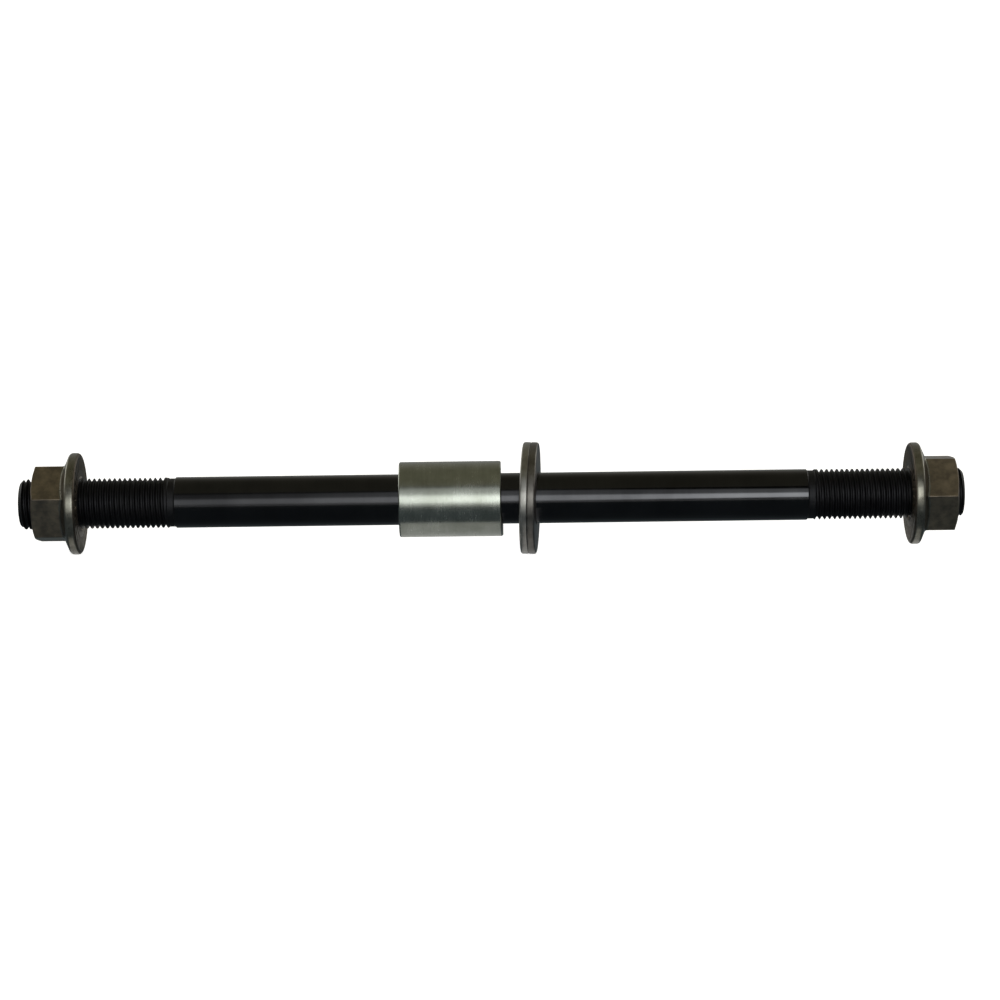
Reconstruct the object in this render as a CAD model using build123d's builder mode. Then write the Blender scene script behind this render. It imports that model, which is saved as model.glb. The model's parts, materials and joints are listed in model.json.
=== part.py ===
from build123d import *
from math import atan, cos, radians, sin, tan
import os

# Bicycle hub axle: a solid rod with a plain shank and a threaded end each side, a loose
# spacer sleeve and two loose washers on the shank, and a flange nut on each thread.
# Millimetres. The axle's centre line is the X axis and the middle of its length is the
# origin. +Z is up and the viewer stands at -Y.

# Axle
axle_length = 185.0
shank_diameter = 10.0
thread_crest_diameter = 9.9
thread_length = 30.6
relief_length = 1.6
relief_diameter = 9.5
tip_chamfer = 0.7

# Spacer sleeve, with its centre a little left of the middle of the axle
sleeve_length = 20.0
sleeve_diameter = 14.8
sleeve_clearance = 0.1
sleeve_offset = -8.05
sleeve_edge_chamfer = 0.2
sleeve_bore_chamfer = 0.3

# Washers, a stacked pair that leans on the shank as far as its clearance lets it
washer_diameter = 22.0
washer_thickness = 1.5
washer_clearance = 0.25
washer_edge_chamfer = 0.3
washer_bore_chamfer = 0.15
sleeve_to_washer_gap = 3.36
lean_share = 0.45
lean_direction = 191.7

# Flange nuts
nut_across_flats = 14.0
nut_height = 8.9
nut_top_circle = 13.6
nut_top_slope = 20.0
flange_diameter = 20.0
flange_edge_thickness = 2.0
flange_slope = 24.0
flange_rim_chamfer = 0.4
nut_clearance = 0.05
nut_bore_chamfer = 0.45
left_tip_stand_out = 2.85
right_tip_stand_out = 1.5
left_nut_turn = 21.0
right_nut_turn = -10.0

# Serrations on the bearing face of a nut
serration_count = 30
serration_depth = 0.3
serration_angle = 80.0
serration_inner_radius = 6.6
serration_rim_margin = 0.9

os.makedirs("parts", exist_ok=True)


# Axle, as half a profile turned about X and mirrored
shank_radius = shank_diameter / 2
crest_radius = thread_crest_diameter / 2
relief_radius = relief_diameter / 2
tip_x = axle_length / 2
shoulder_x = tip_x - thread_length
thread_start_x = shoulder_x + relief_length

with BuildPart() as axle:
    with BuildSketch(Plane.XZ):
        with BuildLine():
            Polyline(
                (0, 0),
                (0, shank_radius),
                (shoulder_x, shank_radius),
                (shoulder_x + shank_radius - relief_radius, relief_radius),
                (thread_start_x - (crest_radius - relief_radius), relief_radius),
                (thread_start_x, crest_radius),
                (tip_x - tip_chamfer, crest_radius),
                (tip_x, crest_radius - tip_chamfer),
                (tip_x, 0),
                close=True,
            )
        make_face()
        mirror(about=Plane.YZ)
    revolve(axis=Axis.X)

axle.part.label = "axle"
export_step(axle.part, "parts/axle.step")


# Spacer sleeve, a plain tube with broken edges
sleeve_bore = shank_diameter + 2 * sleeve_clearance
sleeve_left_x = sleeve_offset - sleeve_length / 2
sleeve_right_x = sleeve_offset + sleeve_length / 2

with BuildPart() as spacer_sleeve:
    with BuildSketch(Plane.YZ.offset(sleeve_left_x)):
        Circle(sleeve_diameter / 2)
        Circle(sleeve_bore / 2, mode=Mode.SUBTRACT)
    extrude(amount=sleeve_length)
    mouths = spacer_sleeve.edges().filter_by(GeomType.CIRCLE).sort_by(SortBy.RADIUS)
    chamfer(mouths[:2], sleeve_bore_chamfer)
    rims = spacer_sleeve.edges().filter_by(GeomType.CIRCLE).sort_by(SortBy.RADIUS)
    chamfer(rims[-2:], sleeve_edge_chamfer)

spacer_sleeve.part.label = "spacer_sleeve"
export_step(spacer_sleeve.part, "parts/spacer_sleeve.step")


# Washers. The most that the pair can lean is where both ends of its bore touch the shank,
# and lean_direction is the way the leaning face looks, about X from +Y.
washer_bore = shank_diameter + 2 * washer_clearance
pair_thickness = 2 * washer_thickness
lean_angle = atan(lean_share * 2 * washer_clearance / pair_thickness)
pair_reach = washer_thickness * cos(lean_angle) + washer_diameter / 2 * sin(lean_angle)
pair_centre_x = sleeve_right_x + sleeve_to_washer_gap + pair_reach
lean_turn = radians(lean_direction)
lean_normal = Vector(
    cos(lean_angle),
    sin(lean_angle) * cos(lean_turn),
    sin(lean_angle) * sin(lean_turn),
)
pair_plane = Plane(origin=(pair_centre_x, 0, 0), z_dir=lean_normal)


def flat_washer(face):
    """A stamped washer that stands on the given plane, with its edges broken."""
    with BuildPart() as washer:
        with BuildSketch(face):
            Circle(washer_diameter / 2)
            Circle(washer_bore / 2, mode=Mode.SUBTRACT)
        extrude(amount=washer_thickness)
        mouths = washer.edges().filter_by(GeomType.CIRCLE).sort_by(SortBy.RADIUS)
        chamfer(mouths[:2], washer_bore_chamfer)
        rims = washer.edges().filter_by(GeomType.CIRCLE).sort_by(SortBy.RADIUS)
        chamfer(rims[-2:], washer_edge_chamfer)
    return washer.part


left_washer = flat_washer(pair_plane.offset(-washer_thickness))
left_washer.label = "left_washer"
export_step(left_washer, "parts/left_washer.step")

right_washer = flat_washer(pair_plane)
right_washer.label = "right_washer"
export_step(right_washer, "parts/right_washer.step")


# Flange nuts. Each stands with its bearing face on a plane whose Z points at the nearer
# tip and whose X points at the viewer, so a nut is turned from a corner facing the viewer.
left_seat_x = -tip_x + left_tip_stand_out + nut_height
right_seat_x = tip_x - right_tip_stand_out - nut_height
left_seat = Plane(origin=(left_seat_x, 0, 0), x_dir=(0, -1, 0), z_dir=(-1, 0, 0))
right_seat = Plane(origin=(right_seat_x, 0, 0), x_dir=(0, -1, 0), z_dir=(1, 0, 0))

nut_bore_radius = crest_radius + nut_clearance
flange_radius = flange_diameter / 2
corner_radius = nut_across_flats / 2 / cos(radians(30))
flange_root_radius = nut_across_flats / 2
flange_root_height = flange_edge_thickness + (flange_radius - flange_root_radius) * tan(
    radians(flange_slope)
)
top_edge_height = nut_height - (corner_radius - nut_top_circle / 2) * tan(
    radians(nut_top_slope)
)
serration_half_width = serration_depth * tan(radians(serration_angle / 2))
serration_length = flange_radius - serration_rim_margin - serration_inner_radius


def flange_nut(seat, turn):
    """A hexagon nut and its flange in one piece, standing on the seat plane."""
    across = Plane(origin=seat.origin, x_dir=seat.x_dir, z_dir=-seat.y_dir)
    axis = Axis(seat.origin, seat.z_dir)
    with BuildPart() as nut:
        with BuildSketch(seat):
            RegularPolygon(nut_across_flats / 2, 6, major_radius=False, rotation=turn)
        extrude(amount=nut_height)
        # the cone that rounds off the corners of the outer end
        with BuildSketch(across):
            with BuildLine():
                Polyline(
                    (0, 0),
                    (corner_radius, 0),
                    (corner_radius, top_edge_height),
                    (nut_top_circle / 2, nut_height),
                    (0, nut_height),
                    close=True,
                )
            make_face()
        revolve(axis=axis, mode=Mode.INTERSECT)
        # the flange, with its sloping back
        with BuildSketch(across):
            with BuildLine():
                Polyline(
                    (0, 0),
                    (flange_radius, 0),
                    (flange_radius, flange_edge_thickness),
                    (flange_root_radius, flange_root_height),
                    (0, flange_root_height),
                    close=True,
                )
            make_face()
        revolve(axis=axis)
        rims = nut.edges().filter_by(GeomType.CIRCLE).sort_by(SortBy.RADIUS)
        chamfer(rims[-2:], flange_rim_chamfer)
        # the threaded bore, countersunk at both ends
        with BuildSketch(seat):
            Circle(nut_bore_radius)
        extrude(amount=nut_height, mode=Mode.SUBTRACT)
        mouths = nut.edges().filter_by(GeomType.CIRCLE).sort_by(SortBy.RADIUS)
        chamfer(mouths[:2], nut_bore_chamfer)
        # the serrations that bite into the frame
        for k in range(serration_count):
            spoke = Plane(seat.origin, x_dir=seat.x_dir, z_dir=seat.z_dir)
            spoke = spoke.rotated((0, 0, 360 * k / serration_count))
            start = spoke.from_local_coords((serration_inner_radius, 0, 0))
            groove = Plane(start, x_dir=spoke.y_dir, z_dir=spoke.x_dir)
            with BuildSketch(groove):
                with BuildLine():
                    Polyline(
                        (-serration_half_width, 0),
                        (serration_half_width, 0),
                        (0, serration_depth),
                        close=True,
                    )
                make_face()
            extrude(amount=serration_length, mode=Mode.SUBTRACT)
    return nut.part


left_nut = flange_nut(left_seat, left_nut_turn)
left_nut.label = "left_nut"
export_step(left_nut, "parts/left_nut.step")

right_nut = flange_nut(right_seat, right_nut_turn)
right_nut.label = "right_nut"
export_step(right_nut, "parts/right_nut.step")
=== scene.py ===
"""A bicycle hub axle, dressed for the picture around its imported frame.

A black axle lies on a pale floor with a zinc plated sleeve and two washers loose on its
shank and a flange nut on each thread. Lengths are metres in the frame's own axes: +X runs
along the axle, +Z is up and the viewer stands at -Y.
"""

import contextlib
import json
import logging
import math
from collections.abc import Callable, Iterator
from dataclasses import dataclass, field, replace
from enum import Enum

import bmesh
import bpy
from mathutils import Matrix, Vector


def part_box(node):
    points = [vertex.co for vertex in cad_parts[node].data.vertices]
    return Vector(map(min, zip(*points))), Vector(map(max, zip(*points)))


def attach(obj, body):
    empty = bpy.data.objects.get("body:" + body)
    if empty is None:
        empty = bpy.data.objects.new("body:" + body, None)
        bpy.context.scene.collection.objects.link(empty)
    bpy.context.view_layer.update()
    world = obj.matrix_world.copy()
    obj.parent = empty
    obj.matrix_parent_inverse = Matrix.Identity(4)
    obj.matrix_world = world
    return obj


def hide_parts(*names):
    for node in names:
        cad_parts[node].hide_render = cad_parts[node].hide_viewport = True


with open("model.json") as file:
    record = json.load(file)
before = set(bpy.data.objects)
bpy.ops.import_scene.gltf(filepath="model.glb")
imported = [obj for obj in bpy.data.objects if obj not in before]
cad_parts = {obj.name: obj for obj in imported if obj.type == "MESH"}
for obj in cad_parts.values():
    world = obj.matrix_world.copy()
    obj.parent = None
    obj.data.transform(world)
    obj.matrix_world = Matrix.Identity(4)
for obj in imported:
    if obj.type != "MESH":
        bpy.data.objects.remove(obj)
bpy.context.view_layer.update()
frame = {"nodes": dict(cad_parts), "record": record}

MM = 0.001
TINY = 0.001 * MM
SIXTH_TURN = math.radians(60)
LOG = logging.getLogger("hub_axle")

# A turned section's points, each a length along the axle and a radius
Outline = list[tuple[float, float]]
# The corners of a ramp, each a place from 0 to 1 and the value there
Stops = list[tuple[float, float]] | tuple[tuple[float, float], ...]


class Side(Enum):
    """An end of the axle, with the sign of its X."""

    LEFT = -1
    RIGHT = 1


# Reading the frame


def mount(name: str) -> dict:
    """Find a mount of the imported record.

    Args:
        name: the mount's name.

    Returns:
        The mount's entry, with its place and sizes.
    """
    return next(m for m in frame["record"]["mounts"] if m["name"] == name)


@dataclass(frozen=True)
class TurnedShape:
    """What a turned node of the frame measures about its own axis."""

    axis: Vector
    centre: Vector
    half_length: float
    radius: float
    bore: float


def facing(node: str) -> Vector:
    """Read which way a disc's right-hand face looks.

    Args:
        node: a node whose largest faces are flat and look roughly along X.

    Returns:
        The unit normal of the face on the right.
    """
    nearly_along_x = 0.98
    total = Vector()
    for face in frame["nodes"][node].data.polygons:
        if face.normal.x > nearly_along_x:
            total += face.normal * face.area
    return total.normalized()


def measured(node: str, axis: Vector) -> TurnedShape:
    """Measure a turned node about an axis through its middle.

    Args:
        node: the node's name.
        axis: the unit vector that the node is turned about.

    Returns:
        The node's centre, half length, outer radius and bore radius.
    """
    low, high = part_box(node)
    centre = (low + high) / 2
    spots = [v.co - centre for v in frame["nodes"][node].data.vertices]
    along = [spot.dot(axis) for spot in spots]
    across = [(spot - axis * spot.dot(axis)).length for spot in spots]
    return TurnedShape(axis, centre, (max(along) - min(along)) / 2, max(across), min(across))


def corner_angle(node: str) -> float:
    """Read how a nut's hexagon is turned in the frame.

    Args:
        node: the nut's name.

    Returns:
        The angle in radians by which a corner stands over the direction of the viewer,
        about the axle, between 0 and 60 degrees.
    """
    low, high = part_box(node)
    outer = high.x if high.x > 0 else low.x
    middle = (low.x + high.x) / 2
    corners = [v.co for v in frame["nodes"][node].data.vertices]
    corners = [c for c in corners if abs(c.x - outer) < abs(middle - outer)]
    far = max(corners, key=lambda c: c.y**2 + c.z**2)
    return math.atan2(far.z, -far.y) % SIXTH_TURN


def blank_corner(blank: bpy.types.Object) -> float:
    """Read where a corner of a new nut's hexagon stands.

    Args:
        blank: the nut at the origin, with its outer end towards +X.

    Returns:
        The corner's angle in radians over the direction of the viewer, from 0 to 60 degrees.
    """
    nearly = 0.9999
    almost_a_sixth = 0.999 * SIXTH_TURN
    high = max(v.co.x for v in blank.data.vertices)
    corners = [v.co for v in blank.data.vertices if v.co.x > high / 2]
    top = max(c.y**2 + c.z**2 for c in corners)
    spots = [math.atan2(c.z, -c.y) for c in corners if c.y**2 + c.z**2 > top * nearly]
    angles = [spot % SIXTH_TURN for spot in spots]
    return min(angle if angle < almost_a_sixth else 0.0 for angle in angles)


# Modelling


def deselect() -> None:
    """Leave edit mode and deselect everything."""
    if bpy.context.object and bpy.context.object.mode != "OBJECT":
        bpy.ops.object.mode_set(mode="OBJECT")
    bpy.ops.object.select_all(action="DESELECT")


def pick(piece: bpy.types.Object) -> None:
    """Select one object alone and make it active."""
    deselect()
    piece.select_set(True)
    bpy.context.view_layer.objects.active = piece


def primitive(name: str, add: Callable, **settings: object) -> bpy.types.Object:
    """Add a primitive at its size and place.

    Args:
        name: the new object's name.
        add: the operator that adds it.
        settings: the operator's settings.

    Returns:
        The new object, with its place in its mesh.
    """
    deselect()
    add(**settings)
    piece = bpy.context.object
    piece.name = name
    piece.data.name = name
    settle(piece)
    return piece


def settle(piece: bpy.types.Object) -> None:
    """Move an object's place, turn and scale into its mesh."""
    pick(piece)
    bpy.ops.object.transform_apply(location=True, rotation=True, scale=True)


def placed(piece: bpy.types.Object, where: Matrix) -> bpy.types.Object:
    """Move a piece and keep the move in its mesh.

    Args:
        piece: the piece, at the origin.
        where: the matrix that takes it to its place.

    Returns:
        The same piece.
    """
    piece.matrix_world = where
    settle(piece)
    return piece


def twin(piece: bpy.types.Object, name: str) -> bpy.types.Object:
    """Copy a piece with its own mesh.

    Args:
        piece: the piece to copy.
        name: the copy's name.

    Returns:
        The copy.
    """
    pick(piece)
    bpy.ops.object.duplicate(linked=False)
    copy = bpy.context.object
    copy.name = name
    copy.data.name = name
    return copy


@contextlib.contextmanager
def editing(piece: bpy.types.Object, mode: str = "VERT") -> Iterator[None]:
    """Open a piece in edit mode for as long as the block lasts.

    Args:
        piece: the piece to edit.
        mode: VERT, EDGE or FACE, what is selected.

    Returns:
        A context, inside which the piece is in edit mode.
    """
    pick(piece)
    bpy.ops.object.mode_set(mode="EDIT")
    bpy.ops.mesh.select_mode(type=mode)
    yield
    bpy.ops.object.mode_set(mode="OBJECT")


def choose(piece: bpy.types.Object, part: str, test: Callable) -> int:
    """Select vertices, edges or faces in edit mode by their place or normal.

    Args:
        piece: the piece that is open in edit mode.
        part: verts, edges or faces.
        test: says whether one of them is chosen.

    Returns:
        How many were chosen.
    """
    mesh = bmesh.from_edit_mesh(piece.data)
    bpy.ops.mesh.select_all(action="DESELECT")
    chosen = [item for item in getattr(mesh, part) if test(item)]
    for item in chosen:
        item.select_set(True)
    mesh.select_flush_mode()
    bmesh.update_edit_mesh(piece.data)
    return len(chosen)


def modified(piece: bpy.types.Object, kind: str, **settings: object) -> None:
    """Give a piece a modifier and apply it.

    Args:
        piece: the piece to change.
        kind: the modifier's type.
        settings: the modifier's settings.
    """
    pick(piece)
    modifier = piece.modifiers.new(kind.lower(), kind)
    for name, value in settings.items():
        setattr(modifier, name, value)
    bpy.ops.object.modifier_apply(modifier=modifier.name)


def combine(piece: bpy.types.Object, other: bpy.types.Object, operation: str) -> None:
    """Join, cut or trim a piece with another, which is used up.

    Args:
        piece: the piece that stays.
        other: the piece that is used up.
        operation: UNION, DIFFERENCE or INTERSECT.
    """
    modified(piece, "BOOLEAN", object=other, operation=operation, solver="EXACT")
    bpy.data.objects.remove(other)


def tidy_mesh(piece: bpy.types.Object) -> None:
    """Merge doubled vertices and point all faces outwards."""
    with editing(piece):
        bpy.ops.mesh.select_all(action="SELECT")
        bpy.ops.mesh.remove_doubles(threshold=TINY)
        bpy.ops.mesh.normals_make_consistent(inside=False)


def shade(piece: bpy.types.Object, degrees: float = 32.0) -> None:
    """Shade a piece smooth up to an angle, with its large faces kept flat.

    Args:
        piece: the finished piece.
        degrees: the angle from which an edge stays sharp.
    """
    pull_of_large_faces = 60
    pick(piece)
    bpy.ops.object.shade_smooth_by_angle(angle=math.radians(degrees))
    modified(piece, "WEIGHTED_NORMAL", keep_sharp=True, weight=pull_of_large_faces)


def arc(centre: tuple[float, float], radius: float, start: float, end: float) -> Outline:
    """Points of an outline's rounded corner.

    Args:
        centre: the arc's centre, as a length along the axle and a radius.
        radius: the arc's radius.
        start: the angle of its first point, in degrees from +X towards the rim.
        end: the angle of its last point.

    Returns:
        The arc's points, ends included.
    """
    degrees_a_facet = 15
    pieces = max(2, round(abs(end - start) / degrees_a_facet))
    angles = [math.radians(start + (end - start) * k / pieces) for k in range(pieces + 1)]
    return [(centre[0] + radius * math.cos(a), centre[1] + radius * math.sin(a)) for a in angles]


def draw(name: str, outline: Outline) -> bpy.types.Object:
    """Draw an outline in the plane over the axle, vertex by vertex.

    Args:
        name: the new object's name.
        outline: the outline's points, as a length along the axle and a radius.

    Returns:
        The outline as an object of edges alone.
    """
    add = bpy.ops.mesh.primitive_plane_add
    piece = primitive(name, add, size=MM, location=(outline[0][0], 0, outline[0][1]))
    with editing(piece):
        bpy.ops.mesh.select_all(action="SELECT")
        bpy.ops.mesh.merge(type="CENTER")
        for here, there in zip(outline, outline[1:]):
            step = (there[0] - here[0], 0, there[1] - here[1])
            bpy.ops.mesh.extrude_vertices_move(TRANSFORM_OT_translate={"value": step})
    return piece


def turned(name: str, outline: Outline, steps: int) -> bpy.types.Object:
    """Turn an outline about the axle's line, as on a lathe.

    Args:
        name: the new piece's name.
        outline: the points of half its section. A ring's outline ends where it starts.
        steps: how many facets go round.

    Returns:
        The turned piece, closed, with its faces outwards.
    """
    piece = draw(name, outline)
    with editing(piece):
        bpy.ops.mesh.select_all(action="SELECT")
        bpy.ops.mesh.spin(steps=steps, angle=math.tau, center=(0, 0, 0), axis=(1, 0, 0))
    tidy_mesh(piece)
    return piece


@dataclass(frozen=True)
class ThreadForm:
    """A 60 degree metric thread, right-handed, as a coil that cuts it.

    The groove's width at the crest and its flats at the root are shares of the pitch.
    """

    pitch: float = 1.0 * MM
    flank: float = math.radians(30)
    crest_gap: float = 7 / 8
    axle_root_flat: float = 1 / 4
    nut_root_flat: float = 1 / 8
    steps: int = 64
    overshoot: float = 0.06 * MM
    run_out_steps: int = 20

    @property
    def depth(self) -> float:
        """The depth from crest to root."""
        return (self.crest_gap - self.axle_root_flat) / 2 * self.pitch / math.tan(self.flank)

    def coil(
        self, name: str, start: float, end: float, crest: float, inside: bool
    ) -> bpy.types.Object:
        """Make the coil that cuts one thread.

        Args:
            name: the new object's name.
            start: where the coil's first turn begins, along the axle.
            end: how far the coil has to reach.
            crest: the radius that the groove is cut from, its widest place.
            inside: True for a nut's thread, whose groove points outwards.

        Returns:
            The coil, closed at both ends.
        """
        way = -1 if inside else 1
        root = crest - way * self.depth
        top = crest + way * self.overshoot
        narrow = (self.nut_root_flat if inside else self.axle_root_flat) * self.pitch / 2
        wide = narrow + (self.depth + self.overshoot) * math.tan(self.flank)
        outline = [(-wide, top), (wide, top), (narrow, root), (-narrow, root), (-wide, top)]
        coil = draw(name, [(start + along, radius) for along, radius in outline])
        tidy_mesh(coil)
        modified(
            coil,
            "SCREW",
            axis="X",
            angle=math.tau,
            screw_offset=self.pitch,
            iterations=math.ceil((end - start) / self.pitch),
            steps=self.steps,
            render_steps=self.steps,
        )
        if not inside:
            self.run_out(coil, root, crest)
        with editing(coil):
            bpy.ops.mesh.select_all(action="SELECT")
            bpy.ops.mesh.fill_holes(sides=4)
            bpy.ops.mesh.normals_make_consistent(inside=False)
        return coil

    def run_out(self, coil: bpy.types.Object, root: float, crest: float) -> None:
        """Let the first part of a coil rise out of the rod, as a die leaves its thread.

        Args:
            coil: the coil, whose vertices still follow its steps.
            root: the radius of the groove's bottom.
            crest: the radius that the groove is cut from.
        """
        corners = 4
        for k in range(self.run_out_steps):
            share = 1 - k / self.run_out_steps
            grown = 1 + (crest + self.overshoot - root) / root * share**2
            for vertex in coil.data.vertices[corners * k : corners * (k + 1)]:
                vertex.co.y *= grown
                vertex.co.z *= grown


# Finishes


def rgb(colour: str) -> tuple[float, float, float, float]:
    """Turn an sRGB hex colour to the linear one that a shader takes.

    Args:
        colour: the colour, as in #7a7d78.

    Returns:
        Its linear red, green and blue, and an alpha of 1.
    """
    shares = [int(colour[k : k + 2], 16) / 255 for k in (1, 3, 5)]
    linear = [s / 12.92 if s <= 0.04045 else ((s + 0.055) / 1.055) ** 2.4 for s in shares]
    return (*linear, 1.0)


def node(tree: bpy.types.NodeTree, kind: str, inputs: dict, **settings: object) -> bpy.types.Node:
    """Add a node with its settings and links.

    Args:
        tree: the tree that it joins.
        kind: the node's type.
        inputs: what goes into each input, a value or another node's output.
        settings: the node's own settings.

    Returns:
        The new node.
    """
    made = tree.nodes.new(kind)
    for name, value in settings.items():
        setattr(made, name, value)
    for key, value in inputs.items():
        if isinstance(value, bpy.types.NodeSocket):
            tree.links.new(value, made.inputs[key])
        else:
            made.inputs[key].default_value = value
    return made


@dataclass(frozen=True)
class Finish:
    """A metal surface: two tones, a range of roughness and the grain of how it was made.

    The patterns' sizes are real ones, in millimetres. Each pair of a spread is the values
    of the pattern at which it reaches its lower and its upper end.
    """

    name: str
    light: str
    dark: str
    smooth: float
    rough: float
    mottle_mm: float
    grain_mm: tuple[float, float, float]
    grain_depth_mm: float
    pit_mm: float = 0.25
    pit_depth_mm: float = 0.0
    scuff: str = "#a5a49c"
    scuff_mm: float = 0.9
    scuff_share: float = 0.0
    scuff_cover: float = 0.6
    scuff_spread: tuple[float, float] = (0.78, 0.84)
    grain_in_tone: float = 0.35
    tone_spread: tuple[float, float] = (0.5, 0.85)
    gloss_spread: tuple[float, float] = (0.6, 1.4)

    def material(self) -> bpy.types.Material:
        """Build the finish.

        Returns:
            The material, which reads the frame's own coordinates, so that its pattern
            stays on the piece.
        """
        material = bpy.data.materials.new(self.name)
        material.use_nodes = True
        tree = material.node_tree
        tree.nodes.clear()
        place = node(tree, "ShaderNodeTexCoord", {}).outputs["Object"]
        mottle = self.patches(tree, place)
        grain = self.grain(tree, place)
        colour = self.colour(tree, place, mottle, grain)
        tone = node(tree, "ShaderNodeMath", {0: mottle, 1: grain}, operation="ADD")
        roughness = node(
            tree,
            "ShaderNodeMapRange",
            {
                "Value": self.dulled(tree, place, tone.outputs[0]),
                "From Min": self.gloss_spread[0],
                "From Max": self.gloss_spread[1],
                "To Min": self.smooth,
                "To Max": self.rough,
            },
        )
        shader = node(
            tree,
            "ShaderNodeBsdfPrincipled",
            {
                "Base Color": colour,
                "Metallic": 1.0,
                "Roughness": roughness.outputs["Result"],
                "Normal": self.relief(tree, place, grain),
            },
        )
        node(tree, "ShaderNodeOutputMaterial", {"Surface": shader.outputs["BSDF"]})
        return material

    def patches(
        self, tree: bpy.types.NodeTree, place: bpy.types.NodeSocket
    ) -> bpy.types.NodeSocket:
        """Soft patches a few millimetres across, where the coat is thicker or thinner.

        Args:
            tree: the material's nodes.
            place: the coordinates that the pattern reads.

        Returns:
            The pattern, about 0.5 on average.
        """
        found = node(
            tree,
            "ShaderNodeTexNoise",
            {"Vector": place, "Scale": 1 / (self.mottle_mm * MM), "Detail": 4.0, "Roughness": 0.6},
        )
        return found.outputs["Fac"]

    def grain(
        self, tree: bpy.types.NodeTree, place: bpy.types.NodeSocket
    ) -> bpy.types.NodeSocket:
        """The marks of the tool, longer one way than the other.

        Args:
            tree: the material's nodes.
            place: the coordinates that the pattern reads.

        Returns:
            The pattern, about 0.5 on average.
        """
        stretched = node(
            tree,
            "ShaderNodeMapping",
            {"Vector": place, "Scale": [1 / (size * MM) for size in self.grain_mm]},
        )
        found = node(
            tree,
            "ShaderNodeTexNoise",
            {"Vector": stretched.outputs[0], "Scale": 1.0, "Detail": 3.0, "Roughness": 0.55},
        )
        return found.outputs["Fac"]

    def colour(
        self,
        tree: bpy.types.NodeTree,
        place: bpy.types.NodeSocket,
        mottle: bpy.types.NodeSocket,
        grain: bpy.types.NodeSocket,
    ) -> bpy.types.NodeSocket:
        """The two tones of the coat, and the bare metal that scuffs leave.

        Args:
            tree: the material's nodes.
            place: the coordinates that the patterns read.
            mottle: the soft patches.
            grain: the marks of the tool.

        Returns:
            The colour.
        """
        blend = node(
            tree,
            "ShaderNodeMath",
            {0: grain, 1: self.grain_in_tone, 2: mottle},
            operation="MULTIPLY_ADD",
        )
        ramp = node(tree, "ShaderNodeValToRGB", {"Fac": blend.outputs[0]})
        colours = (self.dark, self.light)
        for end, spot, colour in zip(ramp.color_ramp.elements, self.tone_spread, colours):
            end.position = spot
            end.color = rgb(colour)
        if not self.scuff_share:
            return ramp.outputs["Color"]
        spots = node(
            tree,
            "ShaderNodeTexNoise",
            {"Vector": place, "Scale": 1 / (self.scuff_mm * MM), "Detail": 6.0, "Roughness": 0.75},
        )
        worn = node(
            tree,
            "ShaderNodeMapRange",
            {
                "Value": spots.outputs["Fac"],
                "From Min": self.scuff_spread[0] - self.scuff_share,
                "From Max": self.scuff_spread[1] - self.scuff_share,
                "To Min": 0.0,
                "To Max": self.scuff_cover,
            },
        )
        mixed = node(
            tree,
            "ShaderNodeMix",
            {"Factor": worn.outputs["Result"], "A": ramp.outputs["Color"], "B": rgb(self.scuff)},
            data_type="RGBA",
        )
        return mixed.outputs["Result"]

    def dulled(
        self,
        tree: bpy.types.NodeTree,
        place: bpy.types.NodeSocket,
        tone: bpy.types.NodeSocket,
    ) -> bpy.types.NodeSocket:
        """What makes the surface duller from place to place, here its pattern alone."""
        return tone

    def relief(
        self,
        tree: bpy.types.NodeTree,
        place: bpy.types.NodeSocket,
        grain: bpy.types.NodeSocket,
    ) -> bpy.types.NodeSocket:
        """The height of the tool marks and of fine pits.

        Args:
            tree: the material's nodes.
            place: the coordinates that the patterns read.
            grain: the marks of the tool.

        Returns:
            The bumped normal.
        """
        bump = node(
            tree,
            "ShaderNodeBump",
            {"Height": grain, "Strength": 1.0, "Distance": self.grain_depth_mm * MM},
        )
        if not self.pit_depth_mm:
            return bump.outputs["Normal"]
        pits = node(
            tree,
            "ShaderNodeTexNoise",
            {"Vector": place, "Scale": 1 / (self.pit_mm * MM), "Detail": 5.0, "Roughness": 0.65},
        )
        pitted = node(
            tree,
            "ShaderNodeBump",
            {
                "Height": pits.outputs["Fac"],
                "Strength": 1.0,
                "Distance": self.pit_depth_mm * MM,
                "Normal": bump.outputs["Normal"],
            },
        )
        return pitted.outputs["Normal"]


@dataclass(frozen=True)
class HandledFinish(Finish):
    """A finish that handling has dulled towards the axle's left end."""

    dull_from: float = 20.0 * MM
    dull_to: float = -60.0 * MM
    dulling: float = 0.8

    def dulled(
        self,
        tree: bpy.types.NodeTree,
        place: bpy.types.NodeSocket,
        tone: bpy.types.NodeSocket,
    ) -> bpy.types.NodeSocket:
        """Add the dulling along the axle to the pattern.

        Args:
            tree: the material's nodes.
            place: the frame's coordinates.
            tone: the pattern that sets the roughness elsewhere.

        Returns:
            The pattern, raised towards the left end.
        """
        apart = node(tree, "ShaderNodeSeparateXYZ", {0: place})
        film = node(
            tree,
            "ShaderNodeMapRange",
            {
                "Value": apart.outputs["X"],
                "From Min": self.dull_from,
                "From Max": self.dull_to,
                "To Min": 0.0,
                "To Max": self.dulling,
            },
        )
        return node(
            tree, "ShaderNodeMath", {0: tone, 1: film.outputs["Result"]}, operation="ADD"
        ).outputs[0]


# Black oxide on a centreless-ground bar: deep black, glossy, with fine lines round the bar.
# The lines are drawn about a pixel wide, because real ones are too fine to show.
GROUND_BLACK = HandledFinish(
    name="black_oxide_on_ground_steel",
    light="#353537",
    dark="#2d2d2f",
    smooth=0.08,
    rough=0.17,
    mottle_mm=7.0,
    grain_mm=(0.18, 6.0, 6.0),
    grain_depth_mm=0.0006,
)

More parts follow.
